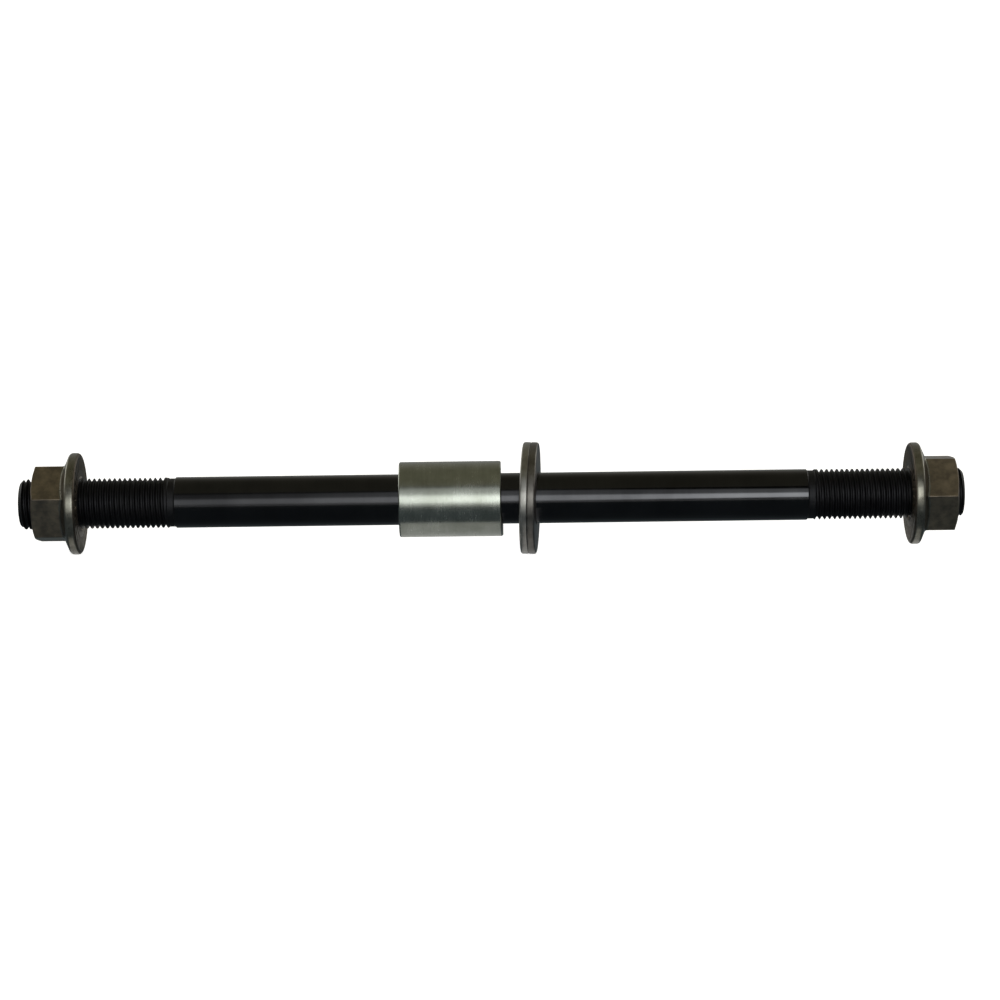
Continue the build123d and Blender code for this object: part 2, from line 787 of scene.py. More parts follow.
# Black oxide on a rolled thread: the same coat, but matt, with dust in the grooves' oil.
ROLLED_BLACK = Finish(
    name="black_oxide_on_rolled_thread",
    light="#2d2d2f",
    dark="#232325",
    smooth=0.46,
    rough=0.62,
    mottle_mm=3.0,
    grain_mm=(0.3, 1.2, 1.2),
    grain_depth_mm=0.004,
)

# Zinc plate on turned steel: pale grey with rings from the lathe, a little greenish. The
# rings are drawn coarser than a lathe's feed, so that they show.
TURNED_ZINC = Finish(
    name="zinc_plate_on_turned_steel",
    light="#90938d",
    dark="#7c7f78",
    smooth=0.2,
    rough=0.3,
    mottle_mm=4.0,
    grain_mm=(0.35, 9.0, 9.0),
    grain_depth_mm=0.0025,
    pit_mm=0.3,
    pit_depth_mm=0.0012,
)

# Zinc plate on a washer stamped from sheet, gone dull and brownish.
STAMPED_ZINC = Finish(
    name="dulled_zinc_on_stamped_steel",
    light="#6c6966",
    dark="#53504d",
    smooth=0.32,
    rough=0.46,
    mottle_mm=2.5,
    grain_mm=(0.2, 0.5, 2.0),
    grain_depth_mm=0.003,
    pit_mm=0.25,
    pit_depth_mm=0.003,
    scuff_share=0.08,
)

# The same on the left washer: paler and a little smoother than the right one.
PALE_STAMPED_ZINC = replace(
    STAMPED_ZINC,
    name="pale_zinc_on_stamped_steel",
    light="#8f8e8b",
    dark="#777572",
    smooth=0.28,
    rough=0.42,
)

# Olive chromate over cold-formed steel: brownish grey, slightly uneven from the die.
FORMED_CHROMATE = Finish(
    name="olive_chromate_on_formed_steel",
    light="#837869",
    dark="#665e55",
    smooth=0.28,
    rough=0.42,
    mottle_mm=2.2,
    grain_mm=(0.9, 0.6, 0.6),
    grain_depth_mm=0.004,
    pit_mm=0.22,
    pit_depth_mm=0.003,
    scuff_share=0.06,
)

# The flange's rim and back: the same coat, rubbed thin, so greyer and smoother than above.
BURNISHED_CHROMATE = Finish(
    name="rubbed_chromate_on_flange",
    light="#7a7870",
    dark="#5d5b54",
    smooth=0.24,
    rough=0.36,
    mottle_mm=2.2,
    grain_mm=(0.25, 0.9, 0.9),
    grain_depth_mm=0.003,
    pit_mm=0.22,
    pit_depth_mm=0.003,
    scuff_share=0.06,
)

# The face that is clamped to the frame: the same coat, dull with grease in its serrations, and
# darker in colour as painted shade, since it looks in along the axle.
GREASED_CHROMATE_WITH_PAINTED_SHADE = Finish(
    name="greased_chromate_on_serrations",
    light="#5c544a",
    dark="#403a33",
    smooth=0.4,
    rough=0.6,
    mottle_mm=1.5,
    grain_mm=(0.3, 0.5, 0.5),
    grain_depth_mm=0.004,
)


def dress(piece: bpy.types.Object, finishes: list[Finish]) -> None:
    """Give a piece its finishes.

    Args:
        piece: the piece.
        finishes: its finishes. All faces take the first until they are numbered.
    """
    piece.data.materials.clear()
    for finish in finishes:
        known = bpy.data.materials.get(finish.name)
        piece.data.materials.append(known or finish.material())


def stand_for(piece: bpy.types.Object, cad_node: str, body: str) -> None:
    """Let a piece ride on a body in place of its plain node, and report it.

    Args:
        piece: the finished piece.
        cad_node: the node that it stands for.
        body: the body that it moves with.
    """
    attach(piece, body)
    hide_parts(cad_node)
    LOG.info("%s stands for %s, with %d faces", piece.name, cad_node, len(piece.data.polygons))


# The object's pieces


@dataclass
class Axle:
    """The black rod with its ground shank and rolled threads."""

    thread: ThreadForm
    facets: int = 128
    relief_radius: float = 4.75 * MM
    relief_length: float = 1.6 * MM
    tip_chamfer: float = 0.7 * MM
    groove_setback: float = 0.05 * MM
    tip: float = field(init=False)
    shank_radius: float = field(init=False)
    crest_radius: float = field(init=False)
    shoulder: float = field(init=False)

    def __post_init__(self) -> None:
        """Read the axle's sizes from the frame."""
        self.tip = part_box("axle")[1].x
        self.shank_radius = mount("hub_shank")["dims"]["r_mm"] * MM
        self.crest_radius = mount("right_thread")["dims"]["r_mm"] * MM
        self.shoulder = mount("hub_shank")["dims"]["length_mm"] * MM / 2

    @property
    def thread_start(self) -> float:
        """Where the thread's crests begin, from the middle of the axle."""
        return self.shoulder + self.relief_length

    @property
    def groove_start(self) -> float:
        """Where the thread's first groove begins, from the middle of the axle."""
        return self.thread_start + self.groove_setback

    def half_outline(self) -> Outline:
        """Half the outline of the rod, from its middle to its right tip.

        Returns:
            The points, from the surface of the shank to the centre of the tip.
        """
        step_down = self.shank_radius - self.relief_radius
        step_up = self.crest_radius - self.relief_radius
        return [
            (self.shoulder, self.shank_radius),
            (self.shoulder + step_down, self.relief_radius),
            (self.thread_start - step_up, self.relief_radius),
            (self.thread_start, self.crest_radius),
            (self.tip - self.tip_chamfer, self.crest_radius),
            (self.tip, self.crest_radius - self.tip_chamfer),
            (self.tip, 0),
        ]

    def build(self) -> bpy.types.Object:
        """Turn the rod, cut both threads and dress it.

        Returns:
            The axle.
        """
        right = self.half_outline()
        left = [(-along, radius) for along, radius in reversed(right)]
        rod = turned("threaded_axle", left + right, self.facets)
        half_turn = Matrix.Rotation(math.pi, 4, "Z")
        reach = self.tip + self.thread.pitch
        for side in Side:
            coil = self.thread.coil("groove", self.groove_start, reach, self.crest_radius, False)
            if side is Side.LEFT:
                placed(coil, half_turn)
            combine(rod, coil, "DIFFERENCE")
        shade(rod)
        dress(rod, [GROUND_BLACK, ROLLED_BLACK])
        self.split_finishes(rod)
        stand_for(rod, "axle", "axle")
        return rod

    def split_finishes(self, rod: bpy.types.Object) -> None:
        """Number the faces past the shank's shoulders for the thread's finish."""
        for face in rod.data.polygons:
            face.material_index = int(abs(face.center.x) > self.shoulder)


@dataclass
class Sleeve:
    """The loose spacer, a turned tube with a burr left on its right rim."""

    facets: int = 160
    edge_chamfer: float = 0.2 * MM
    bore_chamfer: float = 0.3 * MM
    edge_rounding: float = 0.07 * MM
    burr_reach: float = 0.35 * MM
    burr_root: float = 0.8 * MM

    def build(self) -> bpy.types.Object:
        """Turn the sleeve, raise its burr and dress it.

        Returns:
            The sleeve.
        """
        shape = measured("spacer_sleeve", Vector((1, 0, 0)))
        left = shape.centre.x - shape.half_length
        right = shape.centre.x + shape.half_length
        outer, bore = shape.radius, shape.bore
        edge, mouth = self.edge_chamfer, self.bore_chamfer
        outline = [
            (left, bore + mouth),
            (left, outer - edge),
            (left + edge, outer),
            (right - edge, outer),
            (right, outer - edge),
            (right, bore + mouth),
            (right - mouth, bore),
            (left + mouth, bore),
            (left, bore + mouth),
        ]
        sleeve = turned("zinc_sleeve", outline, self.facets)
        modified(
            sleeve,
            "BEVEL",
            width=self.edge_rounding,
            segments=3,
            limit_method="ANGLE",
            angle_limit=math.radians(25),
        )
        self.raise_burr(sleeve, right)
        shade(sleeve)
        dress(sleeve, [TURNED_ZINC])
        stand_for(sleeve, "spacer_sleeve", "sleeve")
        return sleeve

    def raise_burr(self, sleeve: bpy.types.Object, right: float) -> None:
        """Draw the lower part of the right rim out a little, as a worn cut-off tool does.

        Args:
            sleeve: the turned sleeve.
            right: where its right end is.
        """
        for vertex in sleeve.data.vertices:
            inwards = right - vertex.co.x
            if inwards > self.burr_root:
                continue
            low = max(0.0, -vertex.co.z / math.hypot(vertex.co.y, vertex.co.z))
            vertex.co.x += self.burr_reach * low**2 * (1 - inwards / self.burr_root)


@dataclass
class Washers:
    """The stacked pair of stamped washers, which leans on the shank."""

    facets: int = 144
    die_roll: float = 0.42 * MM
    burr_side: float = 0.22 * MM
    bore_edge: float = 0.12 * MM

    def build(self) -> list[bpy.types.Object]:
        """Make both washers.

        Returns:
            The left and the right washer.
        """
        return [self.one(f"{side.name.lower()}_washer", side) for side in Side]

    def one(self, cad_node: str, side: Side) -> bpy.types.Object:
        """Turn one washer, lean it and dress it.

        Args:
            cad_node: the node that it stands for.
            side: its side of the pair. The rounder edge of each looks outwards.

        Returns:
            The washer.
        """
        shape = measured(cad_node, facing(cad_node))
        half, outer, bore = shape.half_length, shape.radius, shape.bore
        roll, burr, edge = self.die_roll, self.burr_side, self.bore_edge
        outline = [
            (-half, bore + edge),
            *arc((-half + roll, outer - roll), roll, 180, 90),
            *arc((half - burr, outer - burr), burr, 90, 0),
            *arc((half - edge, bore + edge), edge, 0, -90),
            *arc((-half + edge, bore + edge), edge, -90, -180),
        ]
        washer = turned(f"stamped_{cad_node}", outline, self.facets)
        lean = Vector((1, 0, 0)).rotation_difference(shape.axis).to_matrix().to_4x4()
        outwards = Matrix.Rotation(math.pi if side is Side.RIGHT else 0, 4, "Z")
        placed(washer, Matrix.Translation(shape.centre) @ lean @ outwards)
        shade(washer)
        dress(washer, [PALE_STAMPED_ZINC if side is Side.LEFT else STAMPED_ZINC])
        stand_for(washer, cad_node, cad_node)
        return washer


@dataclass
class FlangeNut:
    """A cold-formed hexagon nut in one piece with its serrated flange."""

    axle: Axle
    facets: int = 120
    across_flats: float = 14.0 * MM
    top_circle: float = 13.6 * MM
    top_slope: float = math.radians(20)
    edge_thickness: float = 2.0 * MM
    flange_slope: float = math.radians(24)
    rim_rounding: float = 0.6 * MM
    corner_rounding: float = 0.1 * MM
    root_rounding: float = 0.35 * MM
    top_rounding: float = 0.12 * MM
    bore_clearance: float = 0.05 * MM
    countersink: float = 0.45 * MM
    serrations: int = 30
    serration_depth: float = 0.3 * MM
    serration_half_angle: float = math.radians(40)
    serration_start: float = 6.6 * MM
    serration_margin: float = 0.9 * MM
    grease_and_shade_reach: float = 0.33 * MM
    past: float = 1.0 * MM
    height: float = field(init=False)
    flange_radius: float = field(init=False)

    def __post_init__(self) -> None:
        """Read the nut's height and flange from the frame."""
        low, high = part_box("right_nut")
        self.height = high.x - low.x
        self.flange_radius = (high.z - low.z) / 2

    def build(self) -> list[bpy.types.Object]:
        """Model one nut and set a copy on each end of the axle.

        Returns:
            The left and the right nut.
        """
        blank = self.blank()
        nuts = [self.fitted(blank, side) for side in Side]
        bpy.data.objects.remove(blank)
        return nuts

    @property
    def bore_radius(self) -> float:
        """The radius of the nut's thread at its deepest."""
        return self.axle.crest_radius + self.bore_clearance

    @property
    def drill_radius(self) -> float:
        """The radius of the bore before its thread is cut."""
        return self.bore_radius - self.axle.thread.depth

    @property
    def flange_root(self) -> float:
        """How far from the bearing face the flange's slope meets the hexagon."""
        rise = (self.flange_radius - self.across_flats / 2) * math.tan(self.flange_slope)
        return self.edge_thickness + rise

    def blank(self) -> bpy.types.Object:
        """Model the nut without its thread, standing on its bearing face at the origin.

        Returns:
            The blank, with its outer end towards +X and a corner towards the viewer.
        """
        nut = self.hexagon()
        combine(nut, self.top_cone(), "INTERSECT")
        combine(nut, self.flange(), "UNION")
        tidy_mesh(nut)
        self.soften(nut, self.flange_slope, self.root_rounding, 4)
        self.soften(nut, self.top_slope, self.top_rounding, 2)
        combine(nut, self.bore_tool(), "DIFFERENCE")
        combine(nut, self.serration_tool(), "DIFFERENCE")
        tidy_mesh(nut)
        return nut

    def hexagon(self) -> bpy.types.Object:
        """The six-sided bar, with its long edges rounded.

        Returns:
            The bar, longer than the nut at its outer end.
        """
        start, end = self.edge_thickness / 2, self.height + self.past
        add = bpy.ops.mesh.primitive_cylinder_add
        bar = primitive(
            "hexagon",
            add,
            vertices=6,
            radius=self.across_flats / 2 / math.cos(math.radians(30)),
            depth=end - start,
            location=((start + end) / 2, 0, 0),
            rotation=(0, math.radians(90), 0),
        )
        with editing(bar, "EDGE"):
            choose(bar, "edges", lambda e: abs(e.verts[0].co.x - e.verts[1].co.x) > self.past)
            bpy.ops.mesh.bevel(offset=self.corner_rounding, segments=4, affect="EDGES")
        return bar

    def top_cone(self) -> bpy.types.Object:
        """The cone that rounds off the corners of the outer end, as a shape to trim with.

        Returns:
            The turned shape.
        """
        top, past = self.top_circle / 2, self.across_flats
        edge = self.height - (past - top) * math.tan(self.top_slope)
        outline = [
            (-self.past, 0),
            (-self.past, past),
            (edge, past),
            (self.height, top),
            (self.height, 0),
        ]
        return turned("top_cone", outline, self.facets)

    def flange(self) -> bpy.types.Object:
        """The flange with its sloping back and rounded rim.

        Returns:
            The turned flange.
        """
        rim, radius, thick = self.rim_rounding, self.flange_radius, self.edge_thickness
        root = self.across_flats / 2 - self.past
        slope = math.degrees(self.flange_slope)
        crown = (thick - rim, radius - rim)
        start = arc(crown, rim, 90, slope)
        back = start[-1][0] + (start[-1][1] - root) * math.tan(self.flange_slope)
        outline = [
            (0, 0),
            *arc((rim, radius - rim), rim, 180, 90),
            *start,
            (back, root),
            (back, 0),
        ]
        return turned("flange", outline, self.facets)

    def soften(self, nut: bpy.types.Object, slope: float, width: float, segments: int) -> None:
        """Round the edges between the hexagon's sides and a turned face.

        Args:
            nut: the nut.
            slope: the angle between the turned face and the nut's end.
            width: how wide the rounding is.
            segments: how many faces make it.
        """
        near_cone, near_side = 0.01, 0.05

        def between(edge: bmesh.types.BMEdge) -> bool:
            """Whether an edge lies between a side of the hexagon and the turned face."""
            leans = sorted(face.normal.x for face in edge.link_faces)
            on_cone = abs(leans[-1] - math.cos(slope)) < near_cone
            return len(leans) == 2 and abs(leans[0]) < near_side and on_cone

        with editing(nut, "EDGE"):
            if choose(nut, "edges", between):
                bpy.ops.mesh.bevel(offset=width, segments=segments, affect="EDGES")
        tidy_mesh(nut)

    def bore_tool(self) -> bpy.types.Object:
        """The drill and countersinks of the bore, before its thread is cut.

        Returns:
            The turned tool.
        """
        drill = self.drill_radius
        mouth = self.bore_radius + self.countersink
        deep = mouth - drill
        outline = [
            (-self.past, 0),
            (-self.past, mouth + self.past),
            (deep, drill),
            (self.height - deep, drill),
            (self.height + self.past, mouth + self.past),
            (self.height + self.past, 0),
        ]
        return turned("bore_tool", outline, self.facets)

    def serration_tool(self) -> bpy.types.Object:
        """All the wedges that cut the serrations of the bearing face.

        Returns:
            The wedges, as one object.
        """
        end = self.flange_radius - self.serration_margin
        spare = self.serration_depth
        wide = 2 * (self.serration_depth + spare) * math.tan(self.serration_half_angle)
        add = bpy.ops.mesh.primitive_cube_add
        wedges = primitive(
            "serration_tool",
            add,
            size=1,
            scale=(self.serration_depth + spare, end - self.serration_start, wide),
            location=((self.serration_depth - spare) / 2, -(end + self.serration_start) / 2, 0),
        )
        with editing(wedges):
            choose(wedges, "verts", lambda v: v.co.x > 0)
            middle = (self.serration_depth, 0, 0)
            bpy.ops.transform.resize(value=(1, 1, 0), center_override=middle)
            bpy.ops.mesh.select_all(action="SELECT")
            bpy.ops.mesh.remove_doubles(threshold=TINY)
            bpy.ops.mesh.normals_make_consistent(inside=False)
            copies = self.serrations - 1
            bpy.ops.mesh.spin(
                steps=copies,
                dupli=True,
                angle=math.tau * copies / self.serrations,
                center=(0, 0, 0),
                axis=(1, 0, 0),
            )
        return wedges

    def fitted(self, blank: bpy.types.Object, side: Side) -> bpy.types.Object:
        """Set a copy of the blank on one end, cut its thread in step and dress it.

        Args:
            blank: the nut without its thread.
            side: the end that it goes on.

        Returns:
            The nut.
        """
        name = side.name.lower()
        seat = abs(mount(f"{name}_dropout_face")["pos_m"][0])
        half_turn = Matrix.Rotation(math.pi if side is Side.LEFT else 0, 4, "Z")
        nut = twin(blank, f"flange_{name}_nut")
        turn = Matrix.Rotation(blank_corner(blank) - corner_angle(f"{name}_nut"), 4, "X")
        placed(nut, Matrix.Translation((side.value * seat, 0, 0)) @ turn @ half_turn)
        thread = self.axle.thread
        grooves = self.axle.groove_start + thread.pitch / 2
        start = grooves + thread.pitch * math.floor((seat - self.past - grooves) / thread.pitch)
        reach = seat + self.height + self.past
        coil = thread.coil("nut_groove", start, reach, self.drill_radius, True)
        combine(nut, placed(coil, half_turn), "DIFFERENCE")
        shade(nut)
        dress(nut, [FORMED_CHROMATE, GREASED_CHROMATE_WITH_PAINTED_SHADE, BURNISHED_CHROMATE])
        self.split_finishes(nut, seat)
        stand_for(nut, f"{name}_nut", f"{name}_nut")
        return nut

    def split_finishes(self, nut: bpy.types.Object, seat: float) -> None:
        """Number the faces of the bearing face for the grease and its painted shade, and the
        flange's as rubbed.

        Args:
            nut: the nut in its place.
            seat: how far its bearing face is from the middle of the axle.
        """
        for face in nut.data.polygons:
            depth = abs(face.center.x) - seat
            radius = math.hypot(face.center.y, face.center.z)
            # The bearing face takes the darker finish: grease, and painted shade.
            if depth < self.grease_and_shade_reach:
                face.material_index = 1
            elif depth < self.flange_root and radius > self.across_flats / 2:
                face.material_index = 2


# The studio


@dataclass
class Studio:
    """The pale floor, the dark cards that paint dark reflections in the metal, the soft lights and
    the camera.

    The lamp's bands are pairs of an angle over the camera's line, in degrees, and a
    brightness. Its sides and its waist are pairs of a place on it, from 0 at the left to 1
    at the right, and a brightness or how much narrower the band is. The far lamps' limits
    are in X, Y and Z of a direction that is 1 long.
    """

    elevation: float = math.radians(15)
    distance: float = 0.55
    picture: int = 1000
    pixel: float = 0.1968 * MM
    sensor: float = 36.0
    clip: tuple[float, float] = (0.01, 20.0)
    aim_x: float = 1.71 * MM
    aim_below: float = 1.65
    picture_slope: float = 0.012756
    floor_radius: float = 4.0
    floor_sides: int = 96
    floor_gap: float = 0.03 * MM
    floor_colour: str = "#e6e6e6"
    floor_glow: float = 0.88
    floor_glow_in_metal: float = 0.38
    lamp_distance: float = 0.6
    lamp_width: float = 1.0
    lamp_centre: float = math.radians(11)
    lamp_half_height: float = math.radians(28)
    lamp_radiance: float = 4.5
    lamp_colour: str = "#fcfffc"
    lamp_bands: Stops = (
        (-15.6, 0.0), (-10.4, 1.0), (8.5, 1.0), (14.0, 0.2), (32.0, 0.18), (36.0, 0.0),
    )
    lamp_sides: Stops = (
        (0.0, 0.5), (0.25, 0.5), (0.33, 0.44), (0.38, 0.31), (0.42, 0.5), (0.46, 0.82),
        (0.5, 0.93), (0.545, 0.94), (0.62, 2.1), (0.67, 0.5), (1.0, 0.6),
    )
    lamp_waist: Stops = ((0.0, 1.0), (0.53, 1.0), (0.62, 1.28), (1.0, 1.4))
    patch_sides: Stops = ((0.42, 0.0), (0.45, 0.14), (0.5, 0.14), (0.53, 0.0))
    patch_bands: Stops = ((9.0, 0.0), (14.0, 1.0), (32.0, 1.0), (36.0, 0.0))
    far_lamp_gain: float = 5.5
    far_lamp_aside: tuple[float, float] = (0.42, 0.62)
    far_lamp_behind: tuple[float, float] = (0.1, 0.35)
    far_lamp_heights: Stops = (
        (0.0, 0.1), (0.1, 0.25), (0.18, 1.0), (0.42, 1.0), (0.55, 0.05), (1.0, 0.0),
    )
    room_tones: tuple[tuple[float, str], ...] = (
        (0.05, "#959595"), (0.35, "#a2a29b"), (0.65, "#9e9b8e"), (0.9, "#8e8b76"),
    )
    # The cards glow faintly and only the metal sees them: painted dark reflections.
    card_radiance: float = 0.1378
    card_colour: str = "#e5f8ff"
    card_gap: float = 0.01 * MM
    card_reach: float = 200.0 * MM

    def __post_init__(self) -> None:
        """Work out the floor's lean and the camera's axes from what the axle lies on."""
        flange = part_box("left_nut")
        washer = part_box("right_washer")
        self.foot = Vector((flange[1].x, 0, flange[0].z))
        toe = Vector(((washer[0].x + washer[1].x) / 2, 0, washer[0].z))
        along = (toe - self.foot).normalized()
        self.floor_up = Vector((-along.z, 0, along.x))
        self.along = along
        into = Vector((0, math.cos(self.elevation), 0))
        self.look = (into - self.floor_up * math.sin(self.elevation)).normalized()
        level_up = (self.floor_up - self.look * self.floor_up.dot(self.look)).normalized()
        level_right = self.look.cross(level_up)
        roll = self.picture_slope - level_up.x
        self.up = (level_up + level_right * roll).normalized()
        self.right = self.look.cross(self.up)
        self.aim = Vector((self.aim_x, 0, 0)) - self.up * self.aim_below * self.pixel

    def facing_matrix(self, look: Vector, up: Vector, spot: Vector) -> Matrix:
        """The placing of a camera or a panel that looks one way.

        Args:
            look: the way that it looks.
            up: its upward direction.
            spot: where it stands.

        Returns:
            Its matrix.
        """
        right = look.cross(up).normalized()
        turn = Matrix((right, right.cross(look), -look)).transposed().to_4x4()
        return Matrix.Translation(spot) @ turn

    def camera(self) -> None:
        """Set the camera that sees the axle as the photograph does."""
        data = bpy.data.cameras.new("camera")
        data.sensor_width = self.sensor
        data.lens = self.sensor * self.distance / (self.pixel * self.picture)
        data.clip_start, data.clip_end = self.clip
        camera = bpy.data.objects.new("camera", data)
        bpy.context.scene.collection.objects.link(camera)
        spot = self.aim - self.look * self.distance
        camera.matrix_world = self.facing_matrix(self.look, self.up, spot)
        bpy.context.scene.camera = camera

    def lying(self, x: float, y: float, lift: float) -> Matrix:
        """The placing of a sheet on the floor, which leans a little as the axle does.

        Args:
            x: where its middle is along the axle.
            y: how far its middle is behind the axle.
            lift: how high it lies over what the axle stands on.

        Returns:
            Its matrix.
        """
        spot = self.foot + self.along * (x - self.foot.x)
        spot += Vector((0, y, 0)) + self.floor_up * lift
        turn = Matrix((self.along, Vector((0, 1, 0)), self.floor_up)).transposed().to_4x4()
        return Matrix.Translation(spot) @ turn

    def floor(self) -> None:
        """Lay the pale floor under the left flange and the washers."""
        add = bpy.ops.mesh.primitive_circle_add
        deselect()
        add(vertices=self.floor_sides, radius=self.floor_radius, fill_type="NGON")
        floor = bpy.context.object
        floor.name = "floor"
        floor.matrix_world = self.lying(self.foot.x, 0.0, -self.floor_gap)
        floor.data.materials.append(self.floor_material())

    def floor_material(self) -> bpy.types.Material:
        """White card: matt, and white by itself where the camera or a reflection sees it.

        Returns:
            The material. The light that falls on it still shows the axle's shadow.
        """
        material = bpy.data.materials.new("white_card")
        material.use_nodes = True
        tree = material.node_tree
        tree.nodes.clear()
        path = node(tree, "ShaderNodeLightPath", {})
        mirrored = node(
            tree,
            "ShaderNodeMath",
            {0: path.outputs["Is Glossy Ray"], 1: path.outputs["Is Transmission Ray"]},
            operation="ADD",
        )
        scaled = node(
            tree,
            "ShaderNodeMath",
            {0: mirrored.outputs[0], 1: self.floor_glow_in_metal},
            operation="MULTIPLY",
        )
        glow = node(
            tree,
            "ShaderNodeMath",
            {0: path.outputs["Is Camera Ray"], 1: self.floor_glow, 2: scaled.outputs[0]},
            operation="MULTIPLY_ADD",
        )
        matt = node(tree, "ShaderNodeBsdfDiffuse", {"Color": rgb(self.floor_colour)})
        white = {"Color": rgb("#ffffff"), "Strength": glow.outputs[0]}
        light = node(tree, "ShaderNodeEmission", white)
        both = node(tree, "ShaderNodeAddShader", {0: matt.outputs[0], 1: light.outputs[0]})
        node(tree, "ShaderNodeOutputMaterial", {"Surface": both.outputs[0]})
        return material

    def card(self, name: str, across: tuple[float, float], along: tuple[float, float]) -> None:
        """Lay a dark card on the floor, which only the metal sees, as a painted dark reflection.

        Args:
            name: the card's name.
            across: from where to where it reaches in X.
            along: from where to where it reaches in Y.
        """
        deselect()
        bpy.ops.mesh.primitive_plane_add(size=1)
        card = bpy.context.object
        card.name = name
        size = Matrix.Diagonal((across[1] - across[0], along[1] - along[0], 1, 1))
        card.matrix_world = self.lying(sum(across) / 2, sum(along) / 2, self.card_gap) @ size
        card.data.materials.append(self.card_material())
        card.visible_camera = False
        card.visible_diffuse = False
        card.visible_shadow = False

    def card_material(self) -> bpy.types.Material:
        """A faint even glow, which paints the dark reflection that the cards give the metal.

        Returns:
            The material.
        """
        known = bpy.data.materials.get("dark_felt")
        if known:
            return known
        material = bpy.data.materials.new("dark_felt")
        material.use_nodes = True
        tree = material.node_tree
        tree.nodes.clear()
        faint = {"Color": rgb(self.card_colour), "Strength": self.card_radiance}
        light = node(tree, "ShaderNodeEmission", faint)
        node(tree, "ShaderNodeOutputMaterial", {"Surface": light.outputs[0]})
        return material

    def cards(self) -> None:
        """Lay dark cards in front and behind, and between what reaches down to the floor, as
        painted dark reflections.

        The floor stays pale under the flanges, the sleeve and the washers, a little way
        behind the flanges and in front of the washers, where it shows in their lower sides.
        """
        sleeve, washers = (-18.3, 2.2), (5.6, 9.3)
        self.row("under", [(-83.5, -80.5), sleeve, washers, (81.9, 84.6)], -11, 4)
        self.row("before", [washers], -22, -11)
        self.row("behind", [(-84.0, -73.0), (74.0, 85.5)], 4, 26)
        self.row("front", [], -110, -22)
        self.row("back", [], 26, 300)

    def row(self, name: str, pale: list[tuple[float, float]], near: float, far: float) -> None:
        """Lay a row of cards from left to right, with gaps where the floor stays pale.

        Args:
            name: the row's name.
            pale: the gaps in X, in millimetres.
            near: where the row begins in Y, in millimetres.
            far: where it ends in Y, in millimetres.
        """
        starts = [-self.card_reach, *(end * MM for _, end in pale)]
        ends = [*(start * MM for start, _ in pale), self.card_reach]
        for k, reach in enumerate(zip(starts, ends)):
            self.card(f"card_{name}_{k}", reach, (near * MM, far * MM))

    def lamp(self) -> None:
        """Stand the large soft lamp behind the camera, brighter at its middle and right."""
        deselect()
        bpy.ops.mesh.primitive_plane_add(size=1)
        lamp = bpy.context.object
        lamp.name = "soft_lamp"
        tilt = Matrix.Rotation(-self.lamp_centre, 3, "X")
        away = tilt @ -self.look
        spot = away * self.lamp_distance
        height = 2 * self.lamp_distance * math.tan(self.lamp_half_height)
        size = Matrix.Diagonal((self.lamp_width, height, 1, 1))
        lamp.matrix_world = self.facing_matrix(-away, self.floor_up, spot) @ size
        lamp.data.materials.append(self.lamp_material())
        lamp.visible_camera = False

    def lamp_stop(self, degrees: float) -> float:
        """Turn an angle over the camera's line to a place on the lamp, from 0 to 1."""
        angle = math.radians(degrees) - self.lamp_centre
        return 0.5 + math.tan(angle) / math.tan(self.lamp_half_height) / 2

    def lamp_stops(self, bands: Stops) -> Stops:
        """Turn each band's angle to its place up the lamp."""
        return [(self.lamp_stop(degrees), level) for degrees, level in bands]

    def lamp_material(self) -> bpy.types.Material:
        """A soft lamp whose cloth is brightest in a band level with the camera.

        The band is drawn narrower towards the right. A weak patch over it lights the upper
        side of the sleeve.

        Returns:
            The material.
        """
        material = bpy.data.materials.new("lamp_cloth")
        material.use_nodes = True
        tree = material.node_tree
        tree.nodes.clear()
        place = node(tree, "ShaderNodeTexCoord", {}).outputs["Object"]
        apart = node(tree, "ShaderNodeSeparateXYZ", {0: place})
        up = node(tree, "ShaderNodeMath", {0: apart.outputs["Y"], 1: 0.5}, operation="ADD")
        over = node(tree, "ShaderNodeMath", {0: apart.outputs["X"], 1: 0.5}, operation="ADD")
        side = self.ramp(tree, over.outputs[0], self.lamp_sides)
        waist = self.ramp(tree, over.outputs[0], self.lamp_waist)
        level = self.lamp_stop(0)
        off = node(tree, "ShaderNodeMath", {0: up.outputs[0], 1: level}, operation="SUBTRACT")
        drawn = node(
            tree,
            "ShaderNodeMath",
            {0: off.outputs[0], 1: waist, 2: level},
            operation="MULTIPLY_ADD",
        )
        rise = self.ramp(tree, drawn.outputs[0], self.lamp_stops(self.lamp_bands))
        patch = self.ramp(tree, over.outputs[0], self.patch_sides)
        upper = self.ramp(tree, up.outputs[0], self.lamp_stops(self.patch_bands))
        band = node(tree, "ShaderNodeMath", {0: rise, 1: side}, operation="MULTIPLY")
        both = node(
            tree,
            "ShaderNodeMath",
            {0: patch, 1: upper, 2: band.outputs[0]},
            operation="MULTIPLY_ADD",
        )
        full = node(
            tree,
            "ShaderNodeMath",
            {0: both.outputs[0], 1: self.lamp_radiance},
            operation="MULTIPLY",
        )
        soft = {"Color": rgb(self.lamp_colour), "Strength": full.outputs[0]}
        light = node(tree, "ShaderNodeEmission", soft)
        node(tree, "ShaderNodeOutputMaterial", {"Surface": light.outputs[0]})
        return material

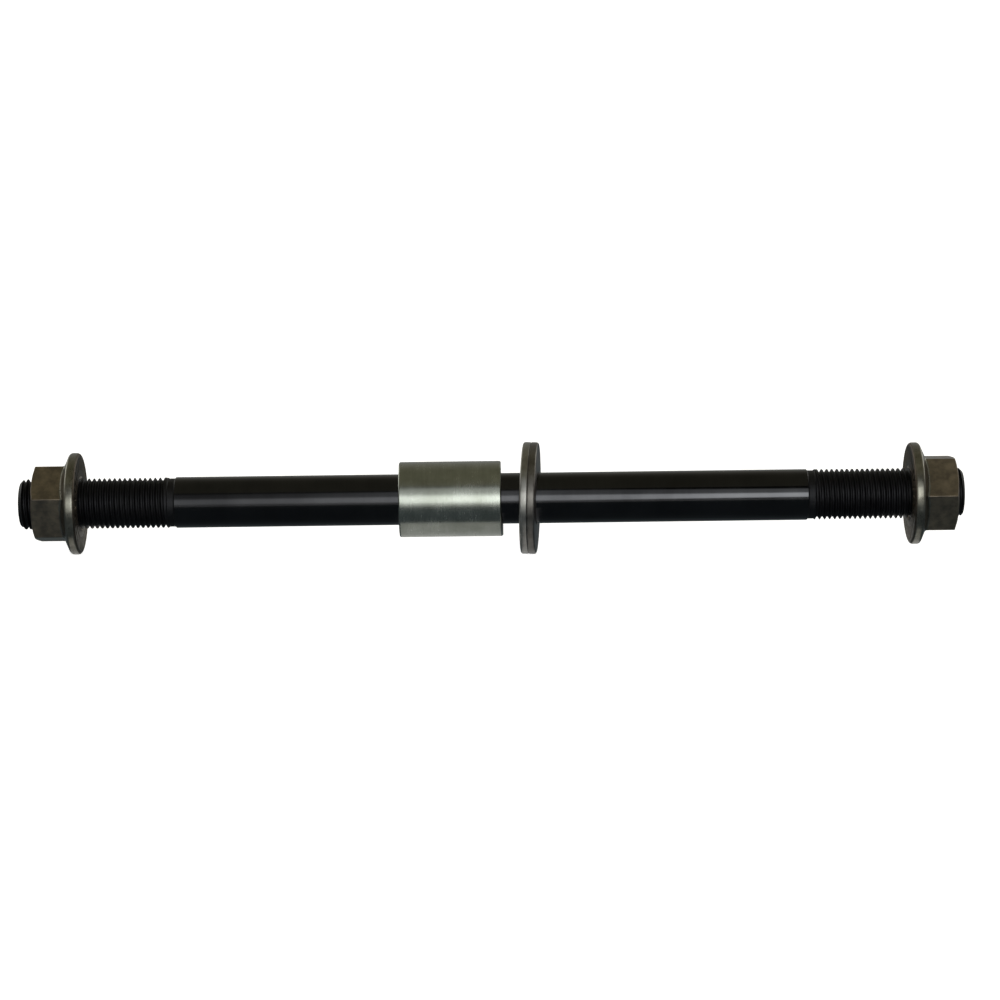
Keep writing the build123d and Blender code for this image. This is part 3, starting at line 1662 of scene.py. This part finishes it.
    def ramp(
        self, tree: bpy.types.NodeTree, value: bpy.types.NodeSocket, stops: Stops
    ) -> bpy.types.NodeSocket:
        """Shape a value by straight lines between stops.

        Args:
            tree: the tree that it joins.
            value: the value to shape, from 0 to 1.
            stops: pairs of a place and the result there.

        Returns:
            The shaped value.
        """
        shaped = node(tree, "ShaderNodeFloatCurve", {"Value": value})
        curve = shaped.mapping.curves[0]
        peak = max(level for _, level in stops)
        while len(curve.points) < len(stops):
            curve.points.new(0.5, 0.5)
        for point, (spot, level) in zip(curve.points, stops):
            point.location = (spot, level / peak)
            point.handle_type = "VECTOR"
        shaped.mapping.extend = "HORIZONTAL"
        shaped.mapping.update()
        full = {0: shaped.outputs[0], 1: peak}
        return node(tree, "ShaderNodeMath", full, operation="MULTIPLY").outputs[0]

    def sky(self) -> None:
        """Light the room plainly, a little warmer overhead, with white walls for the camera."""
        world = bpy.data.worlds.new("room")
        bpy.context.scene.world = world
        world.use_nodes = True
        tree = world.node_tree
        tree.nodes.clear()
        place = node(tree, "ShaderNodeTexCoord", {}).outputs["Generated"]
        apart = node(tree, "ShaderNodeSeparateXYZ", {0: place})
        shades = node(tree, "ShaderNodeValToRGB", {"Fac": apart.outputs["Z"]})
        elements = shades.color_ramp.elements
        while len(elements) < len(self.room_tones):
            elements.new(0.5)
        for element, (spot, colour) in zip(elements, self.room_tones):
            element.position = spot
            element.color = rgb(colour)
        lifted = node(
            tree,
            "ShaderNodeVectorMath",
            {0: shades.outputs["Color"], "Scale": self.far_lamps(tree, apart)},
            operation="SCALE",
        )
        path = node(tree, "ShaderNodeLightPath", {})
        seen = node(
            tree,
            "ShaderNodeMix",
            {
                "Factor": path.outputs["Is Camera Ray"],
                "A": lifted.outputs[0],
                "B": rgb("#ffffff"),
            },
            data_type="RGBA",
        )
        back = node(tree, "ShaderNodeBackground", {"Color": seen.outputs["Result"]})
        node(tree, "ShaderNodeOutputWorld", {"Surface": back.outputs[0]})

    def far_lamps(self, tree: bpy.types.NodeTree, way: bpy.types.Node) -> bpy.types.NodeSocket:
        """Two soft lamps far behind the axle, one past each end, for those who walk round it.

        Args:
            tree: the world's nodes.
            way: the direction that is looked in, split into X, Y and Z.

        Returns:
            How many times brighter than the plain room it is there.
        """
        out = node(tree, "ShaderNodeMath", {0: way.outputs["X"]}, operation="ABSOLUTE")
        start, full = self.far_lamp_aside
        aside = node(
            tree,
            "ShaderNodeMapRange",
            {"Value": out.outputs[0], "From Min": start, "From Max": full},
        )
        start, full = self.far_lamp_behind
        behind = node(
            tree,
            "ShaderNodeMapRange",
            {"Value": way.outputs["Y"], "From Min": start, "From Max": full},
        )
        height = self.ramp(tree, way.outputs["Z"], self.far_lamp_heights)
        there = node(
            tree,
            "ShaderNodeMath",
            {0: aside.outputs["Result"], 1: behind.outputs["Result"]},
            operation="MULTIPLY",
        )
        glow = node(tree, "ShaderNodeMath", {0: there.outputs[0], 1: height}, operation="MULTIPLY")
        return node(
            tree,
            "ShaderNodeMath",
            {0: glow.outputs[0], 1: self.far_lamp_gain, 2: 1.0},
            operation="MULTIPLY_ADD",
        ).outputs[0]

    def build(self) -> None:
        """Set up the whole studio."""
        bpy.context.scene.view_settings.view_transform = "Standard"
        self.floor()
        self.cards()
        self.lamp()
        self.sky()
        self.camera()


def main() -> None:
    """Build the axle's pieces in order, then the studio."""
    logging.basicConfig(level=logging.INFO, format="%(name)s: %(message)s")
    Studio().build()
    axle = Axle(ThreadForm())
    axle.build()
    Sleeve().build()
    Washers().build()
    FlangeNut(axle).build()
    deselect()


if __name__ == "__main__":
    main()
